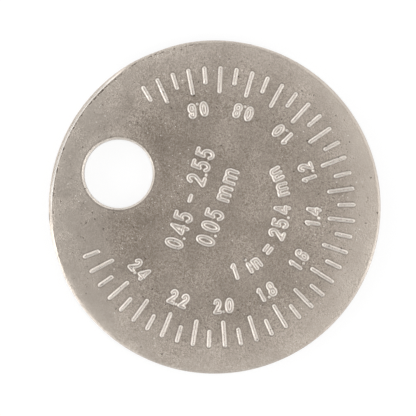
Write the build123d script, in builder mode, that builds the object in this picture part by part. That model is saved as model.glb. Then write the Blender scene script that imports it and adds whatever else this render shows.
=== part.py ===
from build123d import *
import os

# Coin gauge for spark plug gaps, in millimetres. It lies flat with its millimetre scale up.
# The origin is at the middle of what it rests on, +Z is up and the hang hole is on +Y.
# Angles go counter-clockwise from +X, seen from above.

# Rim lip: its thickness is the gap that it measures, and it grows clockwise
first_gap = 0.45
last_gap = 2.55
scale_sweep = 280.0
lip_width = 3.0
lead_in_sweep = 3.4
land_over_last_gap = 0.05

# Disc
disc_diameter = 34.0
rim_edge_round = 0.2

# Step on the front edge of the land, the stretch of rim that has no lip
land_step_depth = 0.3
land_step_wall = 0.13
land_step_ledge = 0.19

# Hang hole
hole_diameter = 7.0
hole_to_rim = 3.1
hole_chamfer = 0.2

# Raised marks of both scales
mark_width = 0.44
mark_height = 0.15
mark_draft = 38.0
mark_flats_per_quarter = 3

# Millimetre scale, on the front
front_gap_step = 0.05
front_mark_to_rim = 2.62
front_long_mark = 2.8
front_short_mark = 1.86

# Inch scale, on the back
inch = 25.4
back_first_gap = 0.020 * inch
back_last_gap = 0.100 * inch
back_long_step = 0.010 * inch
back_parts_of_step = 5
back_mark_to_lip = 0.5
back_long_mark = 2.2
back_short_mark = 1.4

# Worked out from the sizes above
disc_radius = disc_diameter / 2
disc_thickness = last_gap + land_over_last_gap
back_face = mark_height
front_face = back_face + disc_thickness
plateau_radius = disc_radius - lip_width
gap_per_degree = (last_gap - first_gap) / scale_sweep
first_mark_angle = scale_sweep / 2 - 90
ramp_start_angle = first_mark_angle + lead_in_sweep
ramp_start_gap = first_gap - lead_in_sweep * gap_per_degree
ramp_sweep = (disc_thickness - ramp_start_gap) / gap_per_degree
land_sweep = 360 - ramp_sweep
hole_radius = hole_diameter / 2
hole_centre = disc_radius - hole_to_rim - hole_radius


def mark_places(middle, gap, step, count):
    """Places for marks on a circle, the first where the lip is as thick as gap."""
    start = first_mark_angle - (gap - first_gap) / gap_per_degree
    return PolarLocations(middle, count, start, -count * step / gap_per_degree)


def mark_foot(length):
    """Foot of a raised mark along X, its ends rounded off in short flats."""
    Rectangle(length - mark_width, mark_width)
    with GridLocations(length - mark_width, 0, 2, 1):
        RegularPolygon(mark_width / 2, 4 * mark_flats_per_quarter)


# Room under the lip. A section turns clockwise round the disc's axis and sinks as it goes,
# so that the lip left above it thickens evenly. It is twice as wide as the lip and twice as
# deep as the disc, and runs on past the end of the ramp by as much as the lead-in.
room_sweep = ramp_sweep + lead_in_sweep
room_fall = room_sweep * gap_per_degree

with BuildPart() as lip_room:
    with BuildLine() as ramp_line:
        Helix(
            pitch=360 * gap_per_degree,
            height=room_fall,
            radius=plateau_radius,
            direction=(0, 0, -1),
        )
    with BuildSketch(Plane.XZ):
        with Locations((-plateau_radius, 0)):
            Rectangle(2 * lip_width, 2 * disc_thickness, align=(Align.MAX, Align.MAX))
    sweep(path=ramp_line.wires()[0], binormal=Edge.make_line((0, 0, 0), (0, 0, -room_fall)))

# Room over the step on the land's front edge, from +X counter-clockwise
with BuildPart() as land_step_room:
    with BuildSketch(Plane.XZ):
        with BuildLine():
            Polyline(
                (disc_radius - land_step_ledge - land_step_wall, front_face),
                (disc_radius - land_step_ledge, front_face - land_step_depth),
                (disc_radius + land_step_ledge, front_face - land_step_depth),
                (disc_radius + land_step_ledge, front_face),
                close=True,
            )
        make_face()
    revolve(axis=Axis.Z, revolution_arc=land_sweep)

with BuildPart() as gauge_disc:
    # Blank
    with Locations((0, 0, back_face)):
        Cylinder(disc_radius, disc_thickness, align=(Align.CENTER, Align.CENTER, Align.MIN))
    fillet(gauge_disc.edges().filter_by(GeomType.CIRCLE), radius=rim_edge_round)

    # Ramped lip
    with Locations((0, 0, front_face - ramp_start_gap)):
        add(lip_room.part, rotation=(0, 0, ramp_start_angle - 180), mode=Mode.SUBTRACT)

    # Step along the land's front edge
    add(land_step_room.part, rotation=(0, 0, ramp_start_angle), mode=Mode.SUBTRACT)

    # Hang hole
    with Locations((0, hole_centre, front_face)):
        Hole(hole_radius)
    hole_edges = gauge_disc.edges(Select.LAST).filter_by(GeomType.CIRCLE)
    chamfer(hole_edges, length=hole_chamfer)

    # Millimetre scale: short and long marks by turns
    front_steps = round((last_gap - first_gap) / front_gap_step)
    with BuildSketch(Plane.XY.offset(front_face)):
        middle = disc_radius - front_mark_to_rim - front_short_mark / 2
        with mark_places(middle, first_gap, 2 * front_gap_step, front_steps // 2 + 1):
            mark_foot(front_short_mark)
        middle = disc_radius - front_mark_to_rim - front_long_mark / 2
        with mark_places(middle, first_gap + front_gap_step, 2 * front_gap_step, front_steps // 2):
            mark_foot(front_long_mark)
    extrude(amount=mark_height, taper=mark_draft)

    # Inch scale: a long mark at each hundredth, short ones between
    back_long_steps = round((back_last_gap - back_first_gap) / back_long_step)
    with BuildSketch(Plane.XY.offset(back_face)):
        middle = plateau_radius - back_mark_to_lip - back_long_mark / 2
        with mark_places(middle, back_first_gap, back_long_step, back_long_steps + 1):
            mark_foot(back_long_mark)
        middle = plateau_radius - back_mark_to_lip - back_short_mark / 2
        for part_step in range(1, back_parts_of_step):
            gap = back_first_gap + part_step * back_long_step / back_parts_of_step
            with mark_places(middle, gap, back_long_step, back_long_steps):
                mark_foot(back_short_mark)
    extrude(amount=mark_height, dir=(0, 0, -1), taper=mark_draft)

os.makedirs("parts", exist_ok=True)
gauge_disc.part.label = "gauge_disc"
export_step(gauge_disc.part, "parts/gauge_disc.step")
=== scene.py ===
import bmesh
import bpy
import math
import numpy as np
from mathutils.geometry import delaunay_2d_cdt
from types import SimpleNamespace
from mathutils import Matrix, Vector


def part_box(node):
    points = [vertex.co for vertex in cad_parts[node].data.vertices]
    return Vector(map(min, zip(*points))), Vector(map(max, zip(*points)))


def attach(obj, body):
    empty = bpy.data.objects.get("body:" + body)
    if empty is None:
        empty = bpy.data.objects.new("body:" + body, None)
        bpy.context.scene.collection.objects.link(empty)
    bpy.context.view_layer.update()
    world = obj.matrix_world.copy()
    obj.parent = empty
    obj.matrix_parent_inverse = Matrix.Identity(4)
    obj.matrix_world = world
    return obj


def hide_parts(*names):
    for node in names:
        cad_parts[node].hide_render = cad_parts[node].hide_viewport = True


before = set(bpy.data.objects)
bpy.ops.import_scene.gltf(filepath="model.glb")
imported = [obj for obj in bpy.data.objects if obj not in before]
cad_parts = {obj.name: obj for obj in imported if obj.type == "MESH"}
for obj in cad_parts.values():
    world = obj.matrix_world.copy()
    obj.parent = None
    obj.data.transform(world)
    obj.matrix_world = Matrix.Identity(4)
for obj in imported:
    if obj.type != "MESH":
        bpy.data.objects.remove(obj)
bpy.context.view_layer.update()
print("frame loaded")

# The gauge's lengths are in millimetres and its angles in degrees, counter-clockwise from +X seen
# from above. The mesh is scaled to metres once, when it is made.
perMetre = 1000.0
disc = {
    "markHeight": 0.15,
    "firstGap": 0.45,       # what the scale's first and last marks say
    "lastGap": 2.55,
    "scaleSweep": 280.0,    # from the first mark to the last
    "leadInSweep": 3.4,     # of the lip ahead of the first mark
    "lipWidth": 3.0,
}

lowest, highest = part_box("gauge_disc")
rimRadius = (highest.x - lowest.x) / 2 * perMetre
backFace = disc["markHeight"]
frontFace = (highest.z - lowest.z) * perMetre - disc["markHeight"]
plateauRadius = rimRadius - disc["lipWidth"]
gapPerDegree = (disc["lastGap"] - disc["firstGap"]) / disc["scaleSweep"]
firstMark = disc["scaleSweep"] / 2 - 90
rampStart = firstMark + disc["leadInSweep"]
rampEnd = firstMark - (frontFace - backFace - disc["firstGap"]) / gapPerDegree


def markAngle(gap):
    return firstMark - (gap - disc["firstGap"]) / gapPerDegree


def steps(start, end, largest):
    count = max(1, math.ceil(abs(end - start) / largest))
    return np.linspace(start, end, count + 1)


# Strokes: a figure or a mark is a few lines of no width, and the ridge is raised along them
ridge = {
    "crest": 0.065,         # half the crest's width
    "foot": 0.205,          # half the width at the foot
    "straight": 0.5,        # how much of its side is straight; the rest is rounded
    "dotThinner": 0.06,     # how much less a dot reaches each way than a line
    "rings": (0.065, 0.09, 0.115, 0.14, 0.16, 0.18, 0.205, 0.37),   # from the line to rows of points
    "longestStep": 0.5,     # between points along a straight stretch
    "capStep": 22.5,        # between points round a line's end, and along an arc
    "arcStep": 16.0,
    "sharpBend": 35.0,      # where a line is cut in two
    "ringTolerance": 0.004,     # how far a point may be off its ring before it is left out
    "closestPoints": 0.014,
    "samePlace": 1e-6,
}


def arc(x, y, across, up, start, end):
    turn = np.radians(steps(start, end, ridge["arcStep"]))
    return [(x + across * math.cos(t), y + up * math.sin(t)) for t in turn]


def halfTurned(strokes, width):
    return [[(width - x, 1 - y) for x, y in stroke] for stroke in strokes]


def archLeg(x):
    return arc(x + 0.19, 0.43, 0.19, 0.19, 180, 0) + [(x + 0.38, 0)]


# Each sign has its width and its strokes, in a box of height 1
six = [arc(0.21, 0.74, 0.19, 0.26, 15, 180) + arc(0.21, 0.29, 0.21, 0.29, 180, 540)]
signs = {
    "0": (0.42, [arc(0.21, 0.5, 0.21, 0.5, 90, 450)]),
    "1": (0.3, [[(0, 0.86), (0.12, 1), (0.12, 0)]]),
    "2": (0.42, [arc(0.21, 0.72, 0.2, 0.28, 165, -38) + [(0, 0), (0.42, 0)]]),
    "3": (0.42, [
        arc(0.19, 0.755, 0.18, 0.245, 150, -80) + arc(0.2, 0.26, 0.22, 0.26, 80, -150)
    ]),
    "4": (0.44, [[(0.44, 0.27), (0, 0.27), (0.34, 1), (0.37, 0)]]),
    "5": (0.42, [[(0.39, 1), (0.06, 1), (0.04, 0.53)] + arc(0.2, 0.31, 0.22, 0.31, 122, -150)]),
    "6": (0.42, six),
    "7": (0.42, [[(0, 1), (0.42, 1), (0.14, 0)]]),
    "8": (0.42, [
        arc(0.21, 0.755, 0.175, 0.245, 90, 450),
        arc(0.21, 0.255, 0.21, 0.255, 90, 450),
    ]),
    "9": (0.42, halfTurned(six, 0.42)),
    ".": (0.0, [[(0, 0)]]),
    "-": (0.36, [[(0, 0.47), (0.36, 0.47)]]),
    "=": (0.42, [[(0, 0.3), (0.42, 0.3)], [(0, 0.64), (0.42, 0.64)]]),
    "i": (0.0, [[(0, 0), (0, 0.62)], [(0, 0.98)]]),
    "n": (0.38, [[(0, 0), (0, 0.62)], archLeg(0)]),
    "m": (0.76, [[(0, 0), (0, 0.62)], archLeg(0), archLeg(0.38)]),
    " ": (0.08, []),
}


def laidOut(text, style):
    # Each sign's strokes in mm with its own middle at x 0, and that middle's place along the line
    places = []
    x = 0
    before = None
    for sign in text:
        width, strokes = signs[sign]
        if before is not None:
            x += style["dotGap"] if "." in (sign, before) else style["gap"]
        wide = width * style["height"]
        shaped = []
        for stroke in strokes:
            shaped.append([
                ((px - width / 2) * style["height"] + style["slant"] * (py - 0.5) * style["height"],
                 (py - 0.5) * style["height"])
                for px, py in stroke
            ])
        places.append((x + wide / 2, shaped))
        x += wide
        before = sign
    return [(middle - x / 2, shaped) for middle, shaped in places]


def turned(points, angle, x, y):
    c = math.cos(math.radians(angle))
    s = math.sin(math.radians(angle))
    return [(x + c * px - s * py, y + s * px + c * py) for px, py in points]


def onCircle(points, angle, radius):
    # The foot of the sign points away from the disc's middle
    a = math.radians(angle)
    return turned(points, angle + 90, radius * math.cos(a), radius * math.sin(a))


def straightLine(text, style, x, y):
    return [
        turned(stroke, 0, x + middle, y)
        for middle, shaped in laidOut(text, style)
        for stroke in shaped
    ]


def scaleFigure(text, style, angle, radius, aside=0):
    return [
        onCircle([(px + middle + aside, py) for px, py in stroke], angle, radius)
        for middle, shaped in laidOut(text, style)
        for stroke in shaped
    ]


def bentLine(text, style, angle, radius):
    return [
        onCircle(stroke, angle + math.degrees(middle / radius), radius)
        for middle, shaped in laidOut(text, style)
        for stroke in shaped
    ]


def mark(angle, outer, length, width):
    a = math.radians(angle)
    ends = (outer - length + width / 2, outer - width / 2)
    return [(r * math.cos(a), r * math.sin(a)) for r in ends]


# Front: millimetres, read with the hang hole at the top
front = {
    "gapStep": 0.05,
    "markWidth": 0.44,
    "markToRim": 2.62,
    "longMark": 2.8,
    "shortMark": 1.86,
    "figureRadius": 10.15,
    "figureStyle": {"height": 1.2, "gap": 0.6, "dotGap": 0.36, "slant": 0.05},
    "figures": {     # gap: how far its figure sits aside of its mark, and how far in
        0.6: (-0.22, 0.13), 0.8: (-0.18, 0.07), 1.0: (-0.08, 0.02), 1.2: (-0.05, 0.07),
        1.4: (0.04, 0.05), 1.6: (0.09, 0.01), 1.8: (0.14, 0.0), 2.0: (0.15, 0.02),
        2.2: (0.17, 0.09), 2.4: (-0.2, 0.21),
    },
    "lineStyle": {"height": 1.62, "gap": 0.62, "dotGap": 0.42, "slant": 0.0},
    "lines": (("0.45 - 2.55", 0.0, 2.69), ("0.05 mm", 0.1, -0.25)),     # text, x, y
    "bentStyle": {"height": 1.4, "gap": 0.55, "dotGap": 0.4, "slant": 0.0},
    "bent": ("1 in = 25.4 mm", -91.5, 6.9),     # text, angle, radius
}


def frontStrokes():
    count = round((disc["lastGap"] - disc["firstGap"]) / front["gapStep"])
    outer = rimRadius - front["markToRim"]
    strokes = []
    for place in range(count + 1):
        gap = disc["firstGap"] + place * front["gapStep"]
        length = front["longMark"] if place % 2 else front["shortMark"]
        strokes.append(mark(markAngle(gap), outer, length, front["markWidth"]))
    for gap, (aside, inward) in front["figures"].items():
        place = (markAngle(gap), front["figureRadius"] - inward, aside)
        strokes += scaleFigure(f"{gap:.1f}", front["figureStyle"], *place)
    for text, x, y in front["lines"]:
        strokes += straightLine(text, front["lineStyle"], x, y)
    text, angle, radius = front["bent"]
    return strokes + bentLine(text, front["bentStyle"], angle, radius)


# Back: inches, on the flat inside the lip
back = {
    "inch": 25.4,
    "firstGap": 0.02,       # in inches, as is longStep
    "longStep": 0.01,
    "longMarks": 9,
    "parts": 5,             # of a long step, with short marks between them
    "markWidth": 0.44,
    "markToLip": 0.5,
    "longMark": 2.2,
    "shortMark": 1.4,
    "figureRadius": 9.75,
    "figureStyle": {"height": 1.2, "gap": 0.6, "dotGap": 0.4, "slant": 0.0},
    "line": ("in", 0.0, 0.0),
    "lineStyle": {"height": 2.2, "gap": 0.75, "dotGap": 0.75, "slant": 0.0},
}


def backStrokes():
    outer = plateauRadius - back["markToLip"]
    strokes = []
    for place in range((back["longMarks"] - 1) * back["parts"] + 1):
        inches = back["firstGap"] + place * back["longStep"] / back["parts"]
        angle = markAngle(inches * back["inch"])
        isLong = place % back["parts"] == 0
        length = back["longMark"] if isLong else back["shortMark"]
        strokes.append(mark(180 - angle, outer, length, back["markWidth"]))
        if isLong:
            text = f"{inches:.3f}"[1:]
            strokes += scaleFigure(text, back["figureStyle"], 180 - angle, back["figureRadius"])
    text, x, y = back["line"]
    strokes += straightLine(text, back["lineStyle"], x, y)
    # Laid out as read from below, so left and right change places
    return [[(-x, y) for x, y in stroke] for stroke in strokes]


def smoothRuns(stroke):
    # Cuts a stroke at its sharp bends and adds points along its long straight stretches
    points = [np.array(p, float) for p in stroke]
    runs = [[points[0]]]
    for place in range(1, len(points)):
        start, end = points[place - 1], points[place]
        if np.linalg.norm(end - start) < ridge["samePlace"]:
            continue
        for share in steps(0, 1, ridge["longestStep"] / np.linalg.norm(end - start))[1:]:
            runs[-1].append(start + (end - start) * share)
        if place + 1 < len(points):
            into, out = end - start, points[place + 1] - end
            turn = math.atan2(into[0] * out[1] - into[1] * out[0], into @ out)
            if abs(math.degrees(turn)) > ridge["sharpBend"]:
                runs.append([end])
    return [np.array(run) for run in runs]


def thinnerBy(stroke):
    return ridge["dotThinner"] if len(stroke) == 1 else 0


def segmentsOf(strokes):
    rows = []
    for stroke in strokes:
        ends = stroke[1:] or stroke
        rows += [(*a, *b, thinnerBy(stroke)) for a, b in zip(stroke, ends)]
    return np.array(rows)


def distanceTo(segments, points):
    # From each point to the nearest stroke, worked out for some points at a time to save memory
    atOnce = 2000
    nearest = np.empty(len(points))
    start, along, thinner = segments[:, :2], segments[:, 2:4] - segments[:, :2], segments[:, 4]
    square = np.maximum((along ** 2).sum(1), ridge["samePlace"] ** 2)    # a dot has no length
    for first in range(0, len(points), atOnce):
        chunk = points[first:first + atOnce]
        offset = chunk[:, None, :] - start[None]
        share = np.clip((offset * along[None]).sum(2) / square, 0, 1)
        away = offset - share[..., None] * along[None]
        nearest[first:first + atOnce] = (np.sqrt((away ** 2).sum(2)) + thinner).min(1)
    return nearest


def headingsOf(run):
    # Which way a run goes at each of its points, and whether it closes on itself
    if len(run) == 1:
        return np.array([[1.0, 0.0]]), False
    legs = np.diff(run, axis=0)
    legs /= np.linalg.norm(legs, axis=1)[:, None]
    closed = np.linalg.norm(run[0] - run[-1]) < ridge["samePlace"]
    first, last = (legs[-1], legs[0]) if closed else (legs[0], legs[-1])
    headings = np.vstack([first, legs]) + np.vstack([legs, last])
    headings /= np.linalg.norm(headings, axis=1)[:, None]
    return headings, closed


def ridgePoints(strokes, segments):
    # Rings of points round every stroke, less those that fall inside another stroke
    points = []
    levels = []
    capTurns = np.radians(steps(-90, 90, ridge["capStep"]))
    for stroke in strokes:
        thinner = thinnerBy(stroke)
        for run in smoothRuns(stroke):
            points += list(run)
            levels += [thinner] * len(run)
            headings, closed = headingsOf(run)
            for level in ridge["rings"]:
                reach = level - thinner
                for point, (hx, hy) in zip(run, headings):
                    for side in (-reach, reach):
                        points.append(point + side * np.array([-hy, hx]))
                        levels.append(level)
                if closed:
                    continue
                for point, (hx, hy), way in ((run[0], headings[0], -1), (run[-1], headings[-1], 1)):
                    for turn in capTurns:
                        ahead, aside = way * math.cos(turn), math.sin(turn)
                        points.append(point + reach * np.array([
                            ahead * hx - aside * hy, ahead * hy + aside * hx
                        ]))
                        levels.append(level)
    points = np.array(points)
    kept = np.abs(distanceTo(segments, points) - np.array(levels)) < ridge["ringTolerance"]
    points = points[kept]
    cells = np.round(points / ridge["closestPoints"]).astype(int)
    return points[np.sort(np.unique(cells, axis=0, return_index=True)[1])]


def ridgeHeight(distance):
    share = np.clip((distance - ridge["crest"]) / (ridge["foot"] - ridge["crest"]), 0, 1)
    straight = ridge["straight"]
    fallen = straight * share + (1 - straight) * share * share * (3 - 2 * share)
    return disc["markHeight"] * (1 - fallen)


# Rim: a section is a closed row of stations, worked out for every column round the disc
rim = {
    "faceInset": 0.45,      # where the flat front ends and the rim's own strip of faces begins
    "columnStep": 0.75,
    "lipRoot": 0.12,
    "lipEdge": 0.04,
    "landRound": 0.2,       # rounding of the land's lower edge, and how far it runs on into the lip's
    "landRoundFade": 4.0,
    "roundStations": 7,
    "cornerCut": 0.3,       # share of a small corner's rounding that its middle station cuts off
    "underLip": 1.0,        # from the plateau to a station that the flat underside needs
    "wallLean": 0.06,       # of the wall that ends the lip's room

    # Stations from the top of the rim's wall to the flat front: (in from the rim, below the front)
    "wornEdge": (
        (0, 0.24), (0.006, 0.2), (0.022, 0.16), (0.05, 0.125), (0.085, 0.1), (0.15, 0.068),
        (0.22, 0.035), (0.265, 0.015), (0.3, 0.004), (0.35, 0),
    ),
    "stepEdge": (
        (0, 0.34), (0.012, 0.312), (0.03, 0.3), (0.18, 0.3), (0.212, 0.287), (0.232, 0.255),
        (0.388, 0.045), (0.406, 0.016), (0.42, 0.004), (0.433, 0),
    ),

    "stepFade": (9.0, 26.0),    # over how much of the land its step sets in and runs out
    "stepWidens": ((66.0, 92.0), (0.88, 1.03)),     # where the step grows wider, and by how much
    "stepTrace": 0.25,      # share of the step at the land's ends, and how far that runs past them
    "traceFade": 3.0,
    "flash": 0.3,           # share of the step on the lip's edge, where it is most and how far it reaches
    "flashAt": -26.0,
    "flashReach": 16.0,
    "bevel": 0.54,          # how far the worn edge is worn off, and how much more at one place
    "bevelMore": 0.28,
    "bevelMost": -58.0,
    "bevelReach": 40.0,
    "oval": 0.07,           # how much less the rim measures across the longer axis, and that axis
    "longAxis": 19.0,
    "dips": ((128.0, 5.0, 0.08), (39.0, 8.0, 0.07)),    # where on the rim, how far each way, how deep
}
faceRadius = rimRadius - rim["faceInset"]
plateauFlat = plateauRadius - rim["lipEdge"] * 2


def rampGap(angle):
    return disc["firstGap"] + (firstMark - angle) * gapPerDegree


def rimWobble(angle):
    # The rim isn't trimmed quite true: it is a little oval, and dips by more at two places
    wobble = rim["oval"] * np.sin(np.radians(angle - rim["longAxis"])) ** 2
    for place, reach, depth in rim["dips"]:
        away = (angle - place + 180) % 360 - 180
        wobble = wobble + depth * np.exp(-(away / reach) ** 2)
    return wobble


def frontEdge(angle, stepped):
    # From the top of the rim's wall to the flat front: the worn edge where stepped is 0 and the
    # step where it is 1
    faceStart = (rim["faceInset"], 0)
    wornIn, wornDown = np.vstack([rim["wornEdge"], faceStart]).T
    stepIn, stepDown = np.vstack([rim["stepEdge"], faceStart]).T
    share = stepped[:, None]
    away = (angle - rim["bevelMost"]) / rim["bevelReach"]
    bevel = rim["bevel"] + rim["bevelMore"] * np.exp(-away ** 2)
    wider = np.interp((angle + 180) % 360 - 180, *rim["stepWidens"])[:, None]
    inset = (1 - share) * wornIn + share * np.minimum(stepIn * wider, rim["faceInset"])
    depth = (1 - share) * bevel[:, None] * wornDown + share * stepDown
    slack = rimWobble(angle)[:, None] * (1 - inset / rim["faceInset"])
    return rimRadius - inset - slack, frontFace - depth


def backEdge(angle, under, edge):
    # From the underside, over a rounding of the radius edge, to the bottom of the rim's wall
    turn = np.radians(np.linspace(-90, 0, rim["roundStations"]))
    e = edge[:, None]
    slack = rimWobble(angle)[:, None]
    inset = e * (1 - np.cos(turn)[None])
    radius = rimRadius - inset - slack * (1 - inset / rim["faceInset"])
    height = under[:, None] + e * (1 + np.sin(turn)[None])
    start = np.full_like(e, faceRadius)
    return np.hstack([start, radius]), np.hstack([under[:, None], height])


def lipRoot(under):
    # From the flat back down the wall of the plateau and out under the lip. Where the room under
    # the lip is low, neither of its corners takes more than a third of it.
    room = (under - backFace)[:, None]
    edge = np.minimum(rim["lipEdge"], room / 3)
    root = np.minimum(rim["lipRoot"], room / 3)
    cut = rim["cornerCut"]
    flat, top = backFace, under[:, None]
    radius = np.hstack([
        np.full_like(room, plateauFlat), plateauRadius - edge, plateauRadius - cut * edge,
        np.full_like(room, plateauRadius), np.full_like(room, plateauRadius),
        plateauRadius + cut * root, plateauRadius + root,
        np.full_like(room, plateauRadius + rim["underLip"]),
    ])
    height = np.hstack([
        np.full_like(room, flat), np.full_like(room, flat), flat + cut * edge,
        flat + edge, top - root, top - cut * root, top, top,
    ])
    return radius, height


def ring(angle, radius, height):
    a = np.radians(angle)[:, None]
    return np.stack([radius * np.cos(a), radius * np.sin(a), height], axis=2)


def gridFaces(columns, rows, closed):
    # Quads over a grid of vertices that is stored column by column
    c = np.arange(columns if closed else columns - 1)[:, None]
    r = np.arange(rows - 1)[None]
    near = c * rows + r
    far = ((c + 1) % columns) * rows + r
    return np.stack([near, far, far + 1, near + 1], axis=2).reshape(-1, 4)


def rimRings():
    # The sector with the ramp, whose last column stands all but straight above the one before it
    ramp = np.append(steps(rampEnd, rampStart - rim["wallLean"], rim["columnStep"]), rampStart)
    under = frontFace - rampGap(ramp)
    under[-1] = backFace
    fromRampEnd = np.clip((ramp - rampEnd) / rim["landRoundFade"], 0, 1)
    edge = rim["landRound"] + (rim["lipEdge"] - rim["landRound"]) * fromRampEnd
    edge[-1] = rim["landRound"]
    fromLand = np.minimum(ramp - rampEnd, rampStart - ramp)
    stepped = np.clip(1 - fromLand / rim["traceFade"], 0, 1) * rim["stepTrace"]
    stepped += rim["flash"] * np.exp(-((ramp - rim["flashAt"]) / rim["flashReach"]) ** 2)
    rampRing = np.concatenate([
        ring(ramp, *lipRoot(under)),
        ring(ramp, *backEdge(ramp, under, edge)),
        ring(ramp, *frontEdge(ramp, stepped)),
    ], axis=1)
    # The land, which is as thick as the disc and has a step along its front edge
    land = steps(rampStart, rampEnd + 360, rim["columnStep"])
    setsIn, runsOut = rim["stepFade"]
    whole = np.minimum((land - land[0]) / setsIn, (land[-1] - land) / runsOut)
    stepped = rim["stepTrace"] + (1 - rim["stepTrace"]) * np.clip(whole, 0, 1)
    flat = np.full_like(land, backFace)
    landRing = np.concatenate([
        ring(land, *backEdge(land, flat, np.full_like(land, rim["landRound"]))),
        ring(land, *frontEdge(land, stepped)),
    ], axis=1)
    return rampRing, landRing


hangHole = {
    "radius": 3.5,
    "toRim": 3.1,
    "faceInset": 0.25,
    "columnStep": 3.0,
    "edge": (               # (out from the wall, below the face)
        (0.215, 0), (0.185, 0.012), (0.16, 0.035), (0.05, 0.15), (0.025, 0.18), (0.008, 0.21),
        (0, 0.25),
    ),
}
holeCentre = (0, rimRadius - hangHole["toRim"] - hangHole["radius"])


def holeRing():
    # Stations from the front over its edge, down the wall and over the back's edge
    out, down = np.vstack([(hangHole["faceInset"], 0), hangHole["edge"]]).T
    height = np.concatenate([frontFace - down, backFace + down[::-1]])
    turn = np.radians(np.arange(0, 360, hangHole["columnStep"]))[:, None]
    radius = hangHole["radius"] + np.concatenate([out, out[::-1]])[None]
    return np.stack([
        holeCentre[0] + radius * np.cos(turn),
        holeCentre[1] + radius * np.sin(turn),
        np.broadcast_to(height, (len(turn), len(height))),
    ], axis=2)


def loopEdges(first, count):
    return [(first + i, first + (i + 1) % count) for i in range(count)]


def reliefFace(strokes, outline, holeEdge, level, outward, reach):
    # A flat face with its ridges, cut to the outline and the hang hole
    segments = segmentsOf(strokes)
    points = np.vstack([outline, holeEdge, ridgePoints(strokes, segments)])
    edges = loopEdges(0, len(outline)) + loopEdges(len(outline), len(holeEdge))
    found = delaunay_2d_cdt([tuple(p) for p in points], edges, [], 0, ridge["samePlace"], False)
    flat = np.array(found[0])
    triangles = np.array([list(face) for face in found[2]])
    middle = flat[triangles].mean(1)
    bearing = np.degrees(np.arctan2(middle[:, 1], middle[:, 0]))
    halfColumn = math.radians(hangHole["columnStep"] / 2)
    holeReach = (hangHole["radius"] + hangHole["faceInset"]) * math.cos(halfColumn)
    inside = np.hypot(*middle.T) < reach(bearing)
    inside &= np.hypot(middle[:, 0] - holeCentre[0], middle[:, 1] - holeCentre[1]) > holeReach
    distance = distanceTo(segments, flat)
    height = level + outward * ridgeHeight(distance)
    return np.column_stack([flat, height]), triangles[inside], distance


def fromRim(points):
    # How far in from the rim as it is, wobble and all
    inward = rimRadius - np.hypot(points[:, 0], points[:, 1])
    slack = rimWobble(np.degrees(np.arctan2(points[:, 1], points[:, 0])))
    strip = rim["faceInset"]
    return np.where(inward < strip, (inward - slack) / (1 - slack / strip), inward)


meshing = {
    "farFromRidge": 9.0,    # given to the points of the rim and the hang hole
    "joinWithin": 1e-7,     # in metres, as is shortestEdge
    "shortestEdge": 1e-8,
    "sharpAngle": 42.0,     # edges that turn by more than this stay sharp
}


def joined(parts):
    # Makes one list of points, one of faces and one of distances from a ridge out of all the parts
    far = meshing["farFromRidge"]
    points, faces, distances = [], [], []
    first = 0
    for part, corners, distance in parts:
        part = part.reshape(-1, 3)
        points.append(part)
        faces += (corners + first).tolist()
        distances.append(np.full(len(part), far) if distance is None else distance)
        first += len(part)
    return np.vstack(points), faces, np.concatenate(distances)


def gaugeMesh():
    rampRing, landRing = rimRings()
    holeWall = holeRing()
    frontOutline = np.vstack([rampRing[:, -1], landRing[1:-1, -1]])[:, :2]
    radial = [4, 7, 8]      # the stations of a section that still differ where the lip's room ends
    backOutline = np.vstack([
        rampRing[:, 0], rampRing[-1, radial], landRing[1:-1, 0], rampRing[0, radial[::-1]]
    ])[:, :2]

    def frontReach(bearing):
        return np.full_like(bearing, faceRadius)

    def backReach(bearing):
        overLand = (bearing > rampStart) & (bearing < rampEnd + 360)
        return np.where(overLand, faceRadius, plateauFlat)

    frontEnds, backEnds = holeWall[:, 0, :2], holeWall[:, -1, :2]
    frontRelief = reliefFace(frontStrokes(), frontOutline, frontEnds, frontFace, 1, frontReach)
    print("front relief", len(frontRelief[0]), "points")
    backRelief = reliefFace(backStrokes(), backOutline, backEnds, backFace, -1, backReach)
    print("back relief", len(backRelief[0]), "points")
    parts = [frontRelief, backRelief]
    for grid, closed in ((rampRing, False), (landRing, False), (holeWall, True)):
        parts.append((grid, gridFaces(*grid.shape[:2], closed), None))
    points, faces, distances = joined(parts)
    mesh = bpy.data.meshes.new("cast_gauge")
    mesh.from_pydata((points / perMetre).tolist(), [], faces)
    mesh.attributes.new("fromRidge", "FLOAT", "POINT").data.foreach_set("value", distances)
    mesh.attributes.new("fromRim", "FLOAT", "POINT").data.foreach_set("value", fromRim(points))
    # The parts' edges lie on each other, so joining the points that meet there closes the mesh
    work = bmesh.new()
    work.from_mesh(mesh)
    bmesh.ops.remove_doubles(work, verts=work.verts, dist=meshing["joinWithin"])
    bmesh.ops.dissolve_degenerate(work, edges=work.edges, dist=meshing["shortestEdge"])
    bmesh.ops.triangulate(work, faces=work.faces)
    bmesh.ops.recalc_face_normals(work, faces=work.faces)
    openEdges = sum(not edge.is_manifold for edge in work.edges)
    work.to_mesh(mesh)
    work.free()
    mesh.shade_smooth()
    mesh.set_sharp_from_angle(angle=math.radians(meshing["sharpAngle"]))
    print("gauge mesh", len(mesh.polygons), "triangles,", openEdges, "open edges")
    return mesh


gauge = bpy.data.objects.new("cast_gauge", gaugeMesh())
bpy.context.scene.collection.objects.link(gauge)
evenShade = gauge.modifiers.new("evenShade", "WEIGHTED_NORMAL")
evenShade.keep_sharp = True
evenShade.weight = 100


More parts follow.
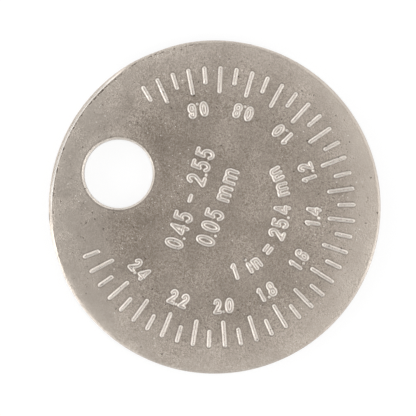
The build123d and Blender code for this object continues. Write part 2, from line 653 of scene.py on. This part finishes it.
class Wire:
    # An output socket: Python's operators on it add Math nodes to its sheet
    def __init__(self, sheet, socket):
        self.sheet = sheet
        self.socket = socket

    def __add__(self, other):
        return self.sheet.math("ADD", self, other)

    def __sub__(self, other):
        return self.sheet.math("SUBTRACT", self, other)

    def __rsub__(self, other):
        return self.sheet.math("SUBTRACT", other, self)

    def __mul__(self, other):
        return self.sheet.math("MULTIPLY", self, other)

    def __truediv__(self, other):
        return self.sheet.math("DIVIDE", self, other)

    def __rtruediv__(self, other):
        return self.sheet.math("DIVIDE", other, self)

    def __lt__(self, other):
        return self.sheet.math("LESS_THAN", self, other)

    def __gt__(self, other):
        return self.sheet.math("GREATER_THAN", self, other)

    def __abs__(self):
        return self.sheet.math("ABSOLUTE", self)

    __radd__ = __add__
    __rmul__ = __mul__


class Sheet:
    # The node tree of a material or of the world
    def __init__(self, tree):
        self.tree = tree
        tree.nodes.clear()

    def node(self, kind, settings=None, sockets=None, output=0):
        made = self.tree.nodes.new(kind)
        for name, value in (settings or {}).items():
            if name == "stops":
                self.setStops(made.color_ramp, value)
            else:
                setattr(made, name, value)
        for name, value in (sockets or {}).items():
            if isinstance(value, Wire):
                self.tree.links.new(value.socket, made.inputs[name])
            else:
                made.inputs[name].default_value = value
        return Wire(self, made.outputs[output]) if made.outputs else made

    def setStops(self, ramp, stops):
        while len(ramp.elements) < len(stops):
            ramp.elements.new(0.5)
        for element, (place, level) in zip(ramp.elements, stops):
            element.position = place
            element.color = (level, level, level, 1)

    def math(self, operation, *values):
        return self.node("ShaderNodeMath", {"operation": operation}, dict(enumerate(values)))

    def length(self, x, y):
        return self.math("SQRT", x * x + y * y)

    def axis(self, vector, number):
        return self.node("ShaderNodeSeparateXYZ", None, {"Vector": vector}, number)

    def attribute(self, name):
        return self.node("ShaderNodeAttribute", {"attribute_name": name}, output="Fac")

    def over(self, value, low, high):
        # 0 below low, 1 above high and smooth between
        settings = {"interpolation_type": "SMOOTHSTEP"}
        sockets = {"Value": value, "From Min": low, "From Max": high}
        return self.node("ShaderNodeMapRange", settings, sockets)

    def under(self, value, low, high):
        return 1 - self.over(value, low, high)

    def band(self, value, low, high, soft):
        return self.over(value, low - soft, low) * self.under(value, high, high + soft)

    def mix(self, share, first, second):
        # Of this node's sockets of the same name, those with these numbers take and give a colour
        settings = {"data_type": "RGBA"}
        return self.node("ShaderNodeMix", settings, {0: share, 6: first, 7: second}, 2)

    def noise(self, place, scale, detail, roughness):
        sockets = {"Vector": place, "Scale": scale, "Detail": detail, "Roughness": roughness}
        return self.node("ShaderNodeTexNoise", None, sockets)

    def cells(self, place, scale):
        # How far it is to the middle of the nearest cell, and a chance from 0 to 1 for that cell
        sockets = {"Vector": place, "Scale": scale}
        distance = self.node("ShaderNodeTexVoronoi", None, sockets, "Distance")
        tint = self.node("ShaderNodeTexVoronoi", None, sockets, "Color")
        return distance, self.node("ShaderNodeSeparateColor", None, {"Color": tint}, "Red")


def newMaterial(name):
    material = bpy.data.materials.new(name)
    material.use_nodes = True
    return material, Sheet(material.node_tree)


def colour(red, green, blue):
    return (red, green, blue, 1)


# Satin nickel plate over a fine-grained casting. Each list of shares says how much the textures
# and zones below add to an amount, on top of what it has in all places.
nickel = {
    "dull": colour(0.17, 0.141, 0.114),
    "light": colour(0.62, 0.56, 0.5),
    "bright": colour(0.82, 0.782, 0.74),
    "burnished": colour(0.96, 0.945, 0.92),
    "grime": colour(0.07, 0.056, 0.045),
    "edgeTint": colour(0.5, 0.48, 0.46),
    "bumpHeight": 0.00005,      # in metres

    # Noises: scale per mm, detail and roughness
    "blotch": (0.28, 2.0, 0.5),
    "grain": (5.6, 3.0, 0.65),
    "fineGrain": (9.0, 2.0, 0.6),
    "patches": (0.35, 1.0, 0.5),
    "chipping": (2.6, 1.0, 0.5),

    # Cells: scale per mm, and from where to where in a cell a pit or speck ends
    "pitScale": 1.5,
    "pitSize": (0.08, 0.17),
    "pitRagged": 0.5,
    "speckScale": 4.5,
    "speckSize": (0.15, 0.35),
    "speckRagged": 0.3,
    "pitsIn": {"all": 0.04, "patches": 0.25, "markRing": 0.25},
    # Share of cells that carry painted glints
    "lightSpecksIn": {"all": 0.006, "markRing": 0.015, "besideHole": 0.07},
    "darkSpecksIn": {"all": 0.01, "markRing": 0.05, "lowerMarks": 0.16, "besideHole": 0.03},

    # Tone: from dull at 0 to light at 1. Rimward light and the outer rim's share paint light that grows
    # towards the rim; the shaded edge paints shade on the rim's edge
    "tone": {
        "all": 0.166, "rimward": 0.23, "blotch": 0.26, "besideHole": -0.08, "holeWear": 0.12,
        "calm": 0.12, "calmRight": -0.07, "outerRim": 0.035, "dullEdge": -0.075, "rubbed": -0.14,
    },
    "grainTone": {"grain": 1.3, "fine": 1.1},
    "coarse": {"all": 0.47, "patches": 0.26, "markRing": 0.06, "smoothRim": -0.06},
    "calmed": {"all": 1.0, "calm": -0.55},

    # From that to bright, where highlights are painted too, to the step wall's painted highlight and to
    # grime with painted shade
    # Brightened: worn crests, the rim's worn edge, which carries a painted highlight too, and painted
    # glints
    "brightened": {"crest": 0.13, "wornRim": 0.1, "lightSpecks": 0.5},
    # Painted highlight: slopes, the hang hole's wall and the rim's bevels are mixed towards bright for
    # the light they catch, less so at the rim's and hole's edges
    "polish": {"all": 0.95, "rimEdge": -0.8, "holeEdge": -0.5},
    "slopePolish": (            # (slope, how polished it is and how much highlight is painted on it), where 0 is flat and 1 is upright
        (0.0, 0.0), (0.06, 0.12), (0.3, 1.0), (0.55, 0.7), (0.8, 0.15),
    ),
    # Painted highlight along the land's step wall
    "burnish": {"all": 0.5, "landStart": -0.1},
    # Grime; round the ridges' feet it is painted shade as well
    "dirt": {
        "ridgeFoot": 0.4, "pits": 0.7, "darkSpecks": 0.6, "seam": 0.2, "chips": 0.6,
        "holeLine": 0.25, "ledge": 0.08, "ledgeStart": 0.05,
    },

    "roughness": {"all": 0.42, "grain": 0.25, "polished": -0.12, "pits": 0.2},
    "flatness": {"all": 0.2, "patches": -0.4, "calmFace": 0.5, "landStep": 0.75},
    "grainHeight": {"grain": 1.0, "fine": 0.5},
    "hollows": {"pits": 0.8, "chips": 1.0},
}

# A zone fades in or out between two places. A band has its two edges and how soft they both are.
# They are in millimetres, except where a note says otherwise.
zones = {
    "wearAxis": (0.33, -0.94),      # x and y of the way across the disc along which its wear changes

    # From the disc's middle
    "innerDisc": (8.5, 12.5),
    "rimward": (9.5, 17.5),
    "markRing": (10.5, 14.5, 1.5),
    "calm": (11.5, 13.5),
    "calmSkew": 0.12,               # how far the calm zone leans over, per mm along the wear's axis
    "smoothRim": (13.5, 15.5),
    "outerRim": (15.4, 16.4),

    # Along Y, then along X
    "lowerHalf": (-6.0, 4.0),
    "seamWhole": (-9.0, -2.0),
    "seamFaint": 0.3,               # share of the seam where it isn't whole
    "sharpStep": (-3.5, 7.5, 3.0),
    "landStart": (-3.0, 5.0),

    # Along the wear's axis, then at right angles to it
    "ends": (8.0, 13.0),
    "rightHalf": (-1.0, 1.0),
    "rightSide": (2.0, 10.0),
    "besideLand": (-8.5, -4.0, 2.0),
    "upperSide": (8.0, 12.0),
    "diagonal": (85.0, 140.0),      # of both ways multiplied, in square millimetres

    # From the hang hole's wall
    "inHole": (0.01, 0.06),
    "holeEdge": (0.06, 0.26, 0.03),
    "holeLine": (0.24, 0.36, 0.06),
    "holeWear": (0.2, 1.4),
    "holeWearBlotch": 2.0,          # how ragged its edge is, by blotch and by grain
    "holeWearGrain": 0.5,
    "besideHole": (1.0, 6.0),

    # From the rim
    "wornRim": (0.1, 0.35),
    "wornGrain": 0.3,               # how ragged the worn rim's edge is
    "rubbed": (0.16, 0.32),
    "ledge": (0.21, 0.25),
    "stepWall": (0.24, 0.4, 0.03),
    "chips": (0.26, 0.38, 0.06),
    "landChipsIn": 0.2,             # how much farther in the chips lie along the land
    "dullEdge": (0.3, 0.5),
    "rimEdge": (0.32, 0.42),
    "landStep": (0.4, 0.48),
    "calmFace": (0.4, 0.8),
    "seam": (0.47, 0.53, 0.05),

    # From the middle line of a ridge, and above the front face
    "ridgeFoot": (0.26, 0.3, 0.06),
    "frontHalf": (-0.4, -0.35),
    "crest": (0.1, 0.14),

    # Not lengths but the bearing's sine, and that sine plus a share of the cosine
    "land": (0.78, 0.84),
    "chipped": (0.7, 0.85),
    "chippedSkew": 0.35,

    # Not lengths but levels of a noise
    "patches": (0.42, 0.62),
    "chipping": (0.5, 0.58),
}


def amount(spot, name):
    # Adds up the shares that nickel lists under the name, each times its texture or zone
    shares = dict(nickel[name])
    total = shares.pop("all", 0.0)
    for part, share in shares.items():
        total = total + getattr(spot, part) * share
    return total


def newSpot(sheet):
    # What is known of the spot that is being shaded: where it lies, in millimetres, and its slope
    spot = SimpleNamespace()
    inMetres = sheet.node("ShaderNodeTexCoord", output="Object")
    scaling = {0: inMetres, "Scale": perMetre}
    spot.place = sheet.node("ShaderNodeVectorMath", {"operation": "SCALE"}, scaling)
    spot.x, spot.y, z = (sheet.axis(spot.place, number) for number in range(3))
    spot.aboveFront = z - frontFace
    spot.radius = sheet.length(spot.x, spot.y)
    holeX, holeY = holeCentre
    spot.fromHole = sheet.length(spot.x - holeX, spot.y - holeY) - hangHole["radius"]
    spot.fromRim = sheet.attribute("fromRim")
    spot.fromRidge = sheet.attribute("fromRidge")
    axisX, axisY = zones["wearAxis"]
    spot.across = spot.x * axisX + spot.y * axisY
    spot.along = spot.y * axisX - spot.x * axisY
    normal = sheet.node("ShaderNodeNewGeometry", output="Normal")
    spot.slope = 1 - abs(sheet.axis(normal, 2))
    return spot


def addGrain(sheet, spot):
    spot.blotch = sheet.noise(spot.place, *nickel["blotch"]) - 0.5
    spot.grain = sheet.noise(spot.place, *nickel["grain"]) - 0.5
    spot.fine = sheet.noise(spot.place, *nickel["fineGrain"]) - 0.5
    spot.patches = sheet.over(sheet.noise(spot.place, *nickel["patches"]), *zones["patches"])


def addZones(sheet, spot):
    # The front's wide zones, each 1 inside, 0 outside and soft between
    # Painted light: the front grows lighter towards the rim, and more at its outer edge
    spot.rimward = sheet.over(spot.radius, *zones["rimward"])
    spot.smoothRim = sheet.over(spot.radius, *zones["smoothRim"])
    spot.outerRim = sheet.over(spot.radius, *zones["outerRim"])
    spot.markRing = sheet.band(spot.radius, *zones["markRing"])
    spot.lowerMarks = spot.markRing * sheet.under(spot.y, *zones["lowerHalf"])
    innerDisc = sheet.under(spot.radius, *zones["innerDisc"])
    spot.besideHole = sheet.under(spot.fromHole, *zones["besideHole"]) * innerDisc
    skewed = spot.radius - spot.across * zones["calmSkew"]
    spot.calm = sheet.over(skewed, *zones["calm"]) * sheet.over(abs(spot.across), *zones["ends"])
    spot.calmRight = spot.calm * sheet.over(spot.across, *zones["rightHalf"])
    spot.calmFace = spot.calm * sheet.over(spot.fromRim, *zones["calmFace"])
    frontHalf = sheet.over(spot.aboveFront, *zones["frontHalf"])
    spot.land = sheet.over(spot.y / spot.radius, *zones["land"]) * frontHalf
    skewed = spot.y / spot.radius + spot.x / spot.radius * zones["chippedSkew"]
    spot.chipped = sheet.over(skewed, *zones["chipped"]) * frontHalf


def addWear(sheet, spot):
    # Worn, rubbed and polished places: crests, slopes, and the edges of rim, land and hang hole. Slopes,
    # the rim's worn edge and the step wall also get painted highlight, and the rim's edge gets painted
    # shade.
    spot.crest = sheet.over(spot.aboveFront, *zones["crest"])
    # The rim's worn edge: wear, and a painted highlight
    ragged = spot.fromRim + spot.grain * zones["wornGrain"]
    spot.wornRim = sheet.under(ragged, *zones["wornRim"]) * (1 - spot.land)
    ragged = spot.fromHole + spot.blotch * zones["holeWearBlotch"] + spot.grain * zones["holeWearGrain"]
    spot.holeWear = sheet.under(ragged, *zones["holeWear"])
    # Painted shade on the rim's edge along the land and on one side
    dullSide = sheet.math("MAXIMUM", spot.land, sheet.over(spot.across, *zones["rightSide"]))
    spot.dullEdge = spot.outerRim * dullSide * sheet.under(spot.fromRim, *zones["dullEdge"])
    diagonal = sheet.over(spot.across * abs(spot.along), *zones["diagonal"])
    upperSide = sheet.over(spot.along, *zones["upperSide"])
    besideLand = sheet.band(spot.across, *zones["besideLand"]) * upperSide
    rubbedSide = sheet.math("MAXIMUM", diagonal, besideLand)
    spot.rubbed = rubbedSide * sheet.under(spot.fromRim, *zones["rubbed"])
    spot.landStart = sheet.over(spot.x, *zones["landStart"])
    spot.landStep = spot.land * sheet.under(spot.fromRim, *zones["landStep"])
    sharpStep = spot.land * sheet.band(spot.x, *zones["sharpStep"])
    spot.rimEdge = sheet.under(spot.fromRim, *zones["rimEdge"]) * (1 - sharpStep)
    spot.holeEdge = sheet.band(spot.fromHole, *zones["holeEdge"])
    # Painted highlight on slopes and on the hang hole's wall; the same mask also makes them smoother
    sloping = sheet.node("ShaderNodeValToRGB", {"stops": nickel["slopePolish"]}, {"Fac": spot.slope})
    inHole = sheet.under(spot.fromHole, *zones["inHole"])
    spot.polished = sheet.math("MAXIMUM", sloping, inHole)
    # Painted highlight along the land's step wall
    spot.stepWall = sharpStep * spot.polished * sheet.band(spot.fromRim, *zones["stepWall"])


def addFlecks(sheet, spot):
    # Pits, specks and chips, grime at seams and ledges, painted shade with grime round the ridges' feet,
    # and light specks that are painted glints
    toPit, chance = sheet.cells(spot.place, nickel["pitScale"])
    hollow = sheet.under(toPit + spot.fine * nickel["pitRagged"], *nickel["pitSize"])
    spot.pits = hollow * (chance < amount(spot, "pitsIn"))
    toSpeck, chance = sheet.cells(spot.place, nickel["speckScale"])
    speck = sheet.under(toSpeck + spot.fine * nickel["speckRagged"], *nickel["speckSize"])
    # Painted glints: small specks mixed towards bright
    spot.lightSpecks = speck * (chance < amount(spot, "lightSpecksIn"))
    spot.darkSpecks = speck * (chance > 1 - amount(spot, "darkSpecksIn"))
    chipLine = sheet.band(spot.fromRim - spot.land * zones["landChipsIn"], *zones["chips"])
    chipping = sheet.over(sheet.noise(spot.place, *nickel["chipping"]), *zones["chipping"])
    spot.chips = chipLine * spot.chipped * chipping
    faint = zones["seamFaint"]
    seamShare = faint + sheet.over(spot.x, *zones["seamWhole"]) * (1 - faint)
    spot.seam = sheet.band(spot.fromRim, *zones["seam"]) * spot.land * seamShare
    # Painted shade, with grime, in a band round each ridge's foot
    spot.ridgeFoot = sheet.band(spot.fromRidge, *zones["ridgeFoot"])
    spot.holeLine = sheet.band(spot.fromHole, *zones["holeLine"])
    spot.ledge = spot.land * sheet.under(spot.fromRim, *zones["ledge"])
    spot.ledgeStart = spot.ledge * spot.landStart


def nickelPlate():
    material, sheet = newMaterial("satin_nickel")
    spot = newSpot(sheet)
    addGrain(sheet, spot)
    addZones(sheet, spot)
    addWear(sheet, spot)
    addFlecks(sheet, spot)
    coarse = amount(spot, "coarse") * amount(spot, "calmed")
    tone = amount(spot, "tone") + amount(spot, "grainTone") * coarse
    skin = sheet.mix(tone, nickel["dull"], nickel["light"])
    skin = sheet.mix(amount(spot, "brightened"), skin, nickel["bright"])
    # Painted highlight on slopes and on the hang hole's wall
    skin = sheet.mix(spot.polished * amount(spot, "polish"), skin, nickel["bright"])
    # Painted highlight along the land's step wall
    skin = sheet.mix(spot.stepWall * amount(spot, "burnish"), skin, nickel["burnished"])
    # Grime, with painted shade round the ridges' feet
    skin = sheet.mix(amount(spot, "dirt"), skin, nickel["grime"])
    height = amount(spot, "grainHeight") * (1 - amount(spot, "flatness")) - amount(spot, "hollows")
    sockets = {"Strength": 1.0, "Distance": nickel["bumpHeight"], "Height": height}
    bump = sheet.node("ShaderNodeBump", None, sockets)
    shader = sheet.node("ShaderNodeBsdfPrincipled", None, {
        "Base Color": skin, "Metallic": 1.0, "Roughness": amount(spot, "roughness"),
        "Normal": bump, "Specular Tint": nickel["edgeTint"],
    })
    sheet.node("ShaderNodeOutputMaterial", None, {"Surface": shader})
    return material


plate = nickelPlate()
gauge.data.materials.append(plate)
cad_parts["gauge_disc"].data.materials.clear()
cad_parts["gauge_disc"].data.materials.append(plate)
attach(gauge, "root")
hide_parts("gauge_disc")
print("nickel plate done")

# Studio, in metres: white floor, white surroundings and soft lamps low round the gauge
studio = {
    "floorSize": 3.0,
    "floorWhite": colour(0.8, 0.8, 0.8),
    "shadowShown": 0.14,    # how much of its shading the floor shows, and how much metal sees of it
    "shadingMirrored": 0.6,
    "overhead": 0.5,
    "horizon": 1.6,
    "overheadFrom": (0.1, 0.95),    # sine of the height where the horizon's light fades, and is gone
    "lamps": (   # bearing and height in degrees, distance, watts, size
        (-87.0, 65.0, 0.2, 0.1, 0.08),
        (128.0, 32.0, 0.42, 1.05, 0.3),
        (62.0, 32.0, 0.42, 0.6, 0.3),
        (-90.0, 32.0, 0.42, 0.55, 0.3),
        (-12.0, 32.0, 0.42, 0.38, 0.3),
    ),
}


def floorPaper():
    material, sheet = newMaterial("floor_paper")
    seen = sheet.node("ShaderNodeLightPath", output="Is Camera Ray")
    mirrored = sheet.node("ShaderNodeLightPath", output="Is Glossy Ray")
    below = sheet.node("ShaderNodeNewGeometry", output="Backfacing")
    paper = sheet.node("ShaderNodeBsdfDiffuse", None, {"Color": studio["floorWhite"]})
    white = sheet.node("ShaderNodeEmission", None, {"Color": colour(1, 1, 1), "Strength": 1.0})
    lit = sheet.node("ShaderNodeMixShader", None, {
        0: seen * (1 - studio["shadowShown"]) + mirrored * (1 - studio["shadingMirrored"]),
        1: paper, 2: white,
    })
    clear = sheet.node("ShaderNodeBsdfTransparent")
    oneSided = sheet.node("ShaderNodeMixShader", None, {0: seen * below, 1: lit, 2: clear})
    sheet.node("ShaderNodeOutputMaterial", None, {"Surface": oneSided})
    return material


half = studio["floorSize"] / 2
floorMesh = bpy.data.meshes.new("floor")
floorMesh.from_pydata(
    [(-half, -half, 0), (half, -half, 0), (half, half, 0), (-half, half, 0)], [], [(0, 1, 2, 3)]
)
floorMesh.materials.append(floorPaper())
floor = bpy.data.objects.new("floor", floorMesh)
bpy.context.scene.collection.objects.link(floor)

world = bpy.data.worlds.new("studio")
world.use_nodes = True
bpy.context.scene.world = world
air = Sheet(world.node_tree)
direction = air.node("ShaderNodeTexCoord", output="Generated")
overhead = air.over(air.axis(direction, 2), *studio["overheadFrom"])
glow = studio["horizon"] + (studio["overhead"] - studio["horizon"]) * overhead
seenDirect = air.node("ShaderNodeLightPath", output="Is Camera Ray")
strength = glow + (1 - glow) * seenDirect
surroundings = air.node("ShaderNodeBackground", None, {"Color": colour(1, 1, 1), "Strength": strength})
air.node("ShaderNodeOutputWorld", None, {"Surface": surroundings})

for bearing, rise, reach, watts, size in studio["lamps"]:
    lamp = bpy.data.lights.new("soft_lamp", "AREA")
    lamp.energy = watts
    lamp.size = size
    holder = bpy.data.objects.new("soft_lamp", lamp)
    a, e = math.radians(bearing), math.radians(rise)
    holder.location = (
        reach * math.cos(e) * math.cos(a), reach * math.cos(e) * math.sin(a), reach * math.sin(e)
    )
    holder.rotation_euler = (math.pi / 2 - e, 0, a + math.pi / 2)
    holder.visible_camera = False
    bpy.context.scene.collection.objects.link(holder)
print("studio done")

# Camera: straight above, with its long lens as far off as makes the disc as large as in the picture
view = {
    "side": 416.0,              # the picture's width and height in pixels
    "discRadius": 166.7,        # in pixels
    "discCentre": (214.63, 206.98),
    "roll": -70.92,             # bearing of the picture's right-hand side on the disc
    "lens": 420.0,
    "sensor": 36.0,
    "nearest": 0.01,            # in metres
}
perPixel = rimRadius / view["discRadius"] / perMetre
distance = view["side"] * perPixel * view["lens"] / view["sensor"]
camera = bpy.data.cameras.new("camera")
camera.lens = view["lens"]
camera.sensor_width = view["sensor"]
camera.clip_start = view["nearest"]
cameraStand = bpy.data.objects.new("camera", camera)
aside = (view["side"] / 2 - view["discCentre"][0]) * perPixel
above = (view["discCentre"][1] - view["side"] / 2) * perPixel
roll = math.radians(view["roll"])
cameraStand.location = (
    aside * math.cos(roll) - above * math.sin(roll),
    aside * math.sin(roll) + above * math.cos(roll),
    frontFace / perMetre + distance,
)
cameraStand.rotation_euler = (0, 0, roll)
bpy.context.scene.collection.objects.link(cameraStand)
bpy.context.scene.camera = cameraStand
bpy.context.scene.view_settings.view_transform = "Standard"
